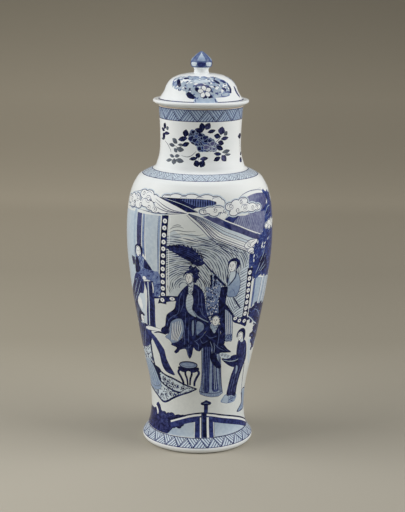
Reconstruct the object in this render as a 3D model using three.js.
// A tall covered baluster vase in glazed porcelain. The vase is thrown in three sections,
// a lower body with a spreading foot, an upper body with the shoulder, and a neck, which are
// luted end to end. The cover is a hat-shaped dome with a rolled brim, a locating flange luted
// under it and a bud finial luted on top. The cover rests on the mouth and lifts straight off.
// Units are millimetres and +Z is up. The origin is the centre of the foot's resting ring,
// on the surface that the vase stands on.
import * as THREE from 'three';

// Foot and recessed base
const footRollRadius = 64.4;
const footRollHeight = 5.5;
const footRollUndercut = 4.9;
const footRestWidth = 7;
const footBevel = 1.5;
const baseRecessFlare = 5.5;
const baseRecessDepth = 11;
const baseThickness = 10;
const floorFilletRadius = 10;

// Body, from the resting ring up to the mouth
const waistRadius = 54;
const waistHeight = 44;
const bellyRadius = 83.1;
const flankRise = 206;
const neckRootRadius = 51.2;
const shoulderRise = 71;
const neckWaistRadius = 45.4;
const neckRootRise = 30;
const mouthRadius = 47.4;
const mouthRise = 40;
const mouthEdgeRadius = 1.2;
const lowerSectionRise = 112;

// Walls and the ridges that the luting leaves inside
const lowerWall = 8.5;
const neckWall = 5.4;
const luteRidgeHeight = 1.4;
const luteRidgeRise = 4;

// Cover
const brimOverhang = 6.4;
const brimThickness = 6.2;
const brimLipRadius = 1.9;
const brimTread = 6.1;
const brimSeatMargin = 0.4;
const domeTopMargin = 2.8;
const domeRise = 28.4;
const domeWall = 4.6;
const flangeDepth = 15;
const flangeWall = 4;
const flangeClearance = 1;
const flangeEdge = 1;

// Finial
const stemBaseRadius = 9.2;
const stemRadius = 8;
const stemRise = 3.6;
const collarRadius = 10.1;
const collarRise = 3.1;
const budRadius = 12.2;
const budShoulderRise = 4.7;
const budPointRise = 13;

// Faces round each turned piece, and steps along its rounded edges
const bodyFacets = 48;
const finialFacets = 32;
const roundSteps = 3;
const lipDegrees = [-60, -30, 0, 30, 60, 90];

// Finishes
const glazeColor = 0xe8e9e3;
const bareClayColor = 0xd9c9ae;
const cobaltColor = 0x50649a;
const glazeRoughness = 0.16;
const bareClayRoughness = 0.75;

// Outlines between two sizes, as [share of the rise, share of the change in radius]
const footShares = [[0.065, 0.1], [0.195, 0.43], [0.34, 0.7], [0.52, 0.86], [0.74, 0.955]];
const flankShares = [
  [0.126, 0.07], [0.252, 0.255], [0.379, 0.435], [0.505, 0.598], [0.631, 0.757], [0.757, 0.883],
  [0.883, 0.973],
];
const shoulderShares = [
  [0.31, 0.034], [0.535, 0.107], [0.69, 0.21], [0.796, 0.332], [0.873, 0.461], [0.944, 0.737],
];
const neckRootShares = [[0.183, 0.414], [0.4, 0.76], [0.667, 0.95]];
const mouthShares = [[0.3, 0.1], [0.65, 0.5]];
const domeShares = [
  [0.035, 0.036], [0.085, 0.07], [0.17, 0.115], [0.27, 0.165], [0.405, 0.207], [0.515, 0.238],
  [0.65, 0.305], [0.79, 0.42], [0.915, 0.63], [0.98, 0.85],
];
const budShares = [[0.32, 0.11], [0.63, 0.43], [0.86, 0.72], [0.96, 0.885]];

// Heights of the joints between pieces, which follow from the sizes above
const lowerLuteHeight = waistHeight + lowerSectionRise;
const bellyHeight = waistHeight + flankRise;
const neckRootHeight = bellyHeight + shoulderRise;
const neckWaistHeight = neckRootHeight + neckRootRise;
const mouthHeight = neckWaistHeight + mouthRise;
const floorHeight = baseRecessDepth + baseThickness;
const brimTopHeight = mouthHeight + brimThickness;
const domeTopHeight = brimTopHeight + domeRise;
const flangeFootHeight = mouthHeight - flangeDepth;

// Radii that follow from the sizes above
const footRestRadius = footRollRadius - footRollUndercut;
const footRestInnerRadius = footRestRadius - footRestWidth;
const baseRecessRadius = footRestInnerRadius - baseRecessFlare;
const mouthBoreRadius = mouthRadius - neckWall;
const brimRadius = mouthRadius + brimOverhang;
const domeFootRadius = brimRadius - brimTread;
const domeTopRadius = stemBaseRadius + domeTopMargin;

/** A point of a turned outline: its radius and its height. */
function at(radius, height) {
  return new THREE.Vector2(radius, height);
}

/** The points that the shares give on the way from one point to another, both ends left out. */
function between(from, to, shares) {
  return shares.map(([rise, change]) => at(
    THREE.MathUtils.lerp(from.x, to.x, change),
    THREE.MathUtils.lerp(from.y, to.y, rise),
  ));
}

/** A quarter of an ellipse from one point to another, which leaves the first one upright or level. */
function quarterRound(from, to, leavesUpright) {
  return Array.from({ length: roundSteps + 1 }, (_, step) => {
    const angle = (step / roundSteps) * (Math.PI / 2);
    const across = leavesUpright ? 1 - Math.cos(angle) : Math.sin(angle);
    const up = leavesUpright ? Math.sin(angle) : 1 - Math.cos(angle);
    return at(THREE.MathUtils.lerp(from.x, to.x, across), THREE.MathUtils.lerp(from.y, to.y, up));
  });
}

/** The radius of a rising outline at a height. */
function radiusAt(outline, height) {
  const above = outline.findIndex((point) => point.y >= height);
  const high = outline[Math.max(above, 1)];
  const low = outline[Math.max(above, 1) - 1];
  return THREE.MathUtils.mapLinear(height, low.y, high.y, low.x, high.x);
}

/** The stretch of a rising outline between two heights, with a point exactly on each of them. */
function stretch(outline, low, high) {
  const middle = outline.filter((point) => point.y > low && point.y < high);
  return [at(radiusAt(outline, low), low), ...middle, at(radiusAt(outline, high), high)];
}

/** The outline moved in by a wall that thins from its first point to its last. */
function offsetInwards(outline, firstWall, lastWall) {
  const curve = new THREE.SplineCurve(outline);
  const rise = outline.at(-1).y - outline[0].y;
  return outline.map((point, index) => {
    const tangent = curve.getTangent(index / (outline.length - 1));
    const wall = THREE.MathUtils.lerp(firstWall, lastWall, (point.y - outline[0].y) / rise);
    return at(point.x - wall * tangent.y, point.y + wall * tangent.x);
  });
}

/** A closed body of revolution about Z from an outline given as radius and height. */
function turned(outline, facets) {
  const geometry = new THREE.LatheGeometry(outline, facets);
  geometry.rotateX(Math.PI / 2);
  return geometry;
}

/** A named piece with its own finish. */
function piece(name, geometry, color, roughness) {
  const material = new THREE.MeshStandardMaterial({ color, roughness, metalness: 0 });
  const mesh = new THREE.Mesh(geometry, material);
  mesh.name = name;
  return mesh;
}

/** The outside of the vase from the widest line of the foot to the mouth. */
function vaseOutline() {
  const footRoll = at(footRollRadius, footRollHeight);
  const waist = at(waistRadius, waistHeight);
  const belly = at(bellyRadius, bellyHeight);
  const neckRoot = at(neckRootRadius, neckRootHeight);
  const neckWaist = at(neckWaistRadius, neckWaistHeight);
  const mouth = at(mouthRadius, mouthHeight);
  return [
    footRoll, ...between(footRoll, waist, footShares),
    waist, ...between(waist, belly, flankShares),
    belly, ...between(belly, neckRoot, shoulderShares),
    neckRoot, ...between(neckRoot, neckWaist, neckRootShares),
    neckWaist, ...between(neckWaist, mouth, mouthShares),
    mouth,
  ];
}

/** The bore of the neck from above its lute ridge to the start of the mouth's inner edge. */
function neckBoreOutline(insideWall) {
  return [
    ...stretch(insideWall, neckRootHeight + luteRidgeRise, neckWaistHeight),
    at(mouthBoreRadius, mouthHeight - mouthEdgeRadius),
  ];
}

const outside = vaseOutline();
const inside = offsetInwards(outside, lowerWall, neckWall);
const neckBore = neckBoreOutline(inside);

// The flange clears the narrowest part of the bore that it hangs in
const flangeRadius = Math.min(radiusAt(neckBore, flangeFootHeight), mouthBoreRadius)
  - flangeClearance;
const flangeBoreRadius = flangeRadius - flangeWall;

/** The lower body: recessed base, resting ring, spreading foot and the flank up to its lute. */
function lowerBody() {
  const base = [
    at(0, baseRecessDepth),
    ...quarterRound(
      at(baseRecessRadius, baseRecessDepth), at(footRestInnerRadius, footBevel), false,
    ),
    at(footRestInnerRadius + footBevel, 0),
  ];
  const roll = quarterRound(at(footRestRadius, 0), outside[0], false);
  const flank = stretch(outside, footRollHeight, lowerLuteHeight).slice(1);
  const wallFoot = floorHeight + floorFilletRadius;
  const wall = stretch(inside, wallFoot, lowerLuteHeight - luteRidgeRise);
  const ridge = at(radiusAt(inside, lowerLuteHeight) - luteRidgeHeight, lowerLuteHeight);
  const floor = quarterRound(
    at(wall[0].x - floorFilletRadius, floorHeight), at(wall[0].x, wallFoot), false,
  );
  return turned(
    [
      ...base, ...roll, ...flank, ridge, ...wall.reverse(), ...floor.reverse().slice(1),
      at(0, floorHeight),
    ],
    bodyFacets,
  );
}

/** The upper body: the belly and shoulder between its two lutes. */
function upperBody() {
  const wall = stretch(inside, lowerLuteHeight + luteRidgeRise, neckRootHeight - luteRidgeRise);
  const highRidge = at(radiusAt(inside, neckRootHeight) - luteRidgeHeight, neckRootHeight);
  const lowRidge = at(radiusAt(inside, lowerLuteHeight) - luteRidgeHeight, lowerLuteHeight);
  const outline = stretch(outside, lowerLuteHeight, neckRootHeight);
  return turned([...outline, highRidge, ...wall.reverse(), lowRidge, outline[0]], bodyFacets);
}

/** The neck with its rounded mouth, whose flat top is the cover's seat. */
function neck() {
  const outline = stretch(outside, neckRootHeight, mouthHeight - mouthEdgeRadius);
  const outerEdge = quarterRound(
    outline.at(-1), at(mouthRadius - mouthEdgeRadius, mouthHeight), true,
  );
  const innerEdge = quarterRound(
    at(mouthBoreRadius, mouthHeight - mouthEdgeRadius),
    at(mouthBoreRadius + mouthEdgeRadius, mouthHeight),
    true,
  );
  const ridge = at(radiusAt(inside, neckRootHeight) - luteRidgeHeight, neckRootHeight);
  return turned(
    [
      ...outline, ...outerEdge.slice(1), ...innerEdge.slice(1).reverse(),
      ...neckBore.toReversed(), ridge, outline[0],
    ],
    bodyFacets,
  );
}

/** The cover's dome with its rolled brim, open underneath. */
function coverDome() {
  const domeFoot = at(domeFootRadius, brimTopHeight);
  const domeTop = at(domeTopRadius, domeTopHeight);
  const dome = [domeFoot, ...between(domeFoot, domeTop, domeShares), domeTop];
  const lipCentre = at(brimRadius - brimLipRadius, brimTopHeight - brimLipRadius);
  const lip = lipDegrees.map((degrees) => {
    const angle = THREE.MathUtils.degToRad(degrees);
    return at(
      lipCentre.x + brimLipRadius * Math.cos(angle),
      lipCentre.y + brimLipRadius * Math.sin(angle),
    );
  });
  const ceilingHeight = domeTopHeight - domeWall;
  const hollow = offsetInwards(dome, domeWall, domeWall)
    .filter((point) => point.y < ceilingHeight);
  return turned(
    [
      at(flangeBoreRadius, mouthHeight),
      at(mouthRadius + brimSeatMargin, mouthHeight),
      ...lip,
      ...dome,
      at(0, domeTopHeight),
      at(0, ceilingHeight),
      ...hollow.reverse(),
      at(flangeBoreRadius, mouthHeight),
    ],
    bodyFacets,
  );
}

/** The locating flange under the cover, which hangs in the mouth with running clearance. */
function coverFlange() {
  const edgeHeight = flangeFootHeight + flangeEdge;
  return turned(
    [
      at(flangeBoreRadius, edgeHeight),
      at(flangeBoreRadius + flangeEdge, flangeFootHeight),
      at(flangeRadius - flangeEdge, flangeFootHeight),
      at(flangeRadius, edgeHeight),
      at(flangeRadius, mouthHeight),
      at(flangeBoreRadius, mouthHeight),
      at(flangeBoreRadius, edgeHeight),
    ],
    bodyFacets,
  );
}

/** The bud finial on its waisted stem. */
function coverFinial() {
  const stemTop = domeTopHeight + stemRise;
  const collarHeight = stemTop + collarRise;
  const shoulderHeight = collarHeight + budShoulderRise;
  const bud = at(budRadius, shoulderHeight);
  const point = at(0, shoulderHeight + budPointRise);
  return turned(
    [
      at(0, domeTopHeight),
      ...quarterRound(at(stemBaseRadius, domeTopHeight), at(stemRadius, stemTop), false),
      ...quarterRound(at(stemRadius, stemTop), at(collarRadius, collarHeight), true).slice(1),
      ...quarterRound(at(collarRadius, collarHeight), bud, false).slice(1),
      ...between(bud, point, budShares),
      point,
    ],
    finialFacets,
  );
}

const vase = new THREE.Group();
vase.add(
  piece('lower_body', lowerBody(), glazeColor, glazeRoughness),
  piece('upper_body', upperBody(), glazeColor, glazeRoughness),
  piece('neck', neck(), glazeColor, glazeRoughness),
);

const cover = new THREE.Group();
cover.add(
  piece('cover_dome', coverDome(), glazeColor, glazeRoughness),
  piece('cover_flange', coverFlange(), bareClayColor, bareClayRoughness),
  piece('cover_finial', coverFinial(), cobaltColor, glazeRoughness),
);

const coveredVase = new THREE.Group();
coveredVase.add(vase, cover);

export default coveredVase;
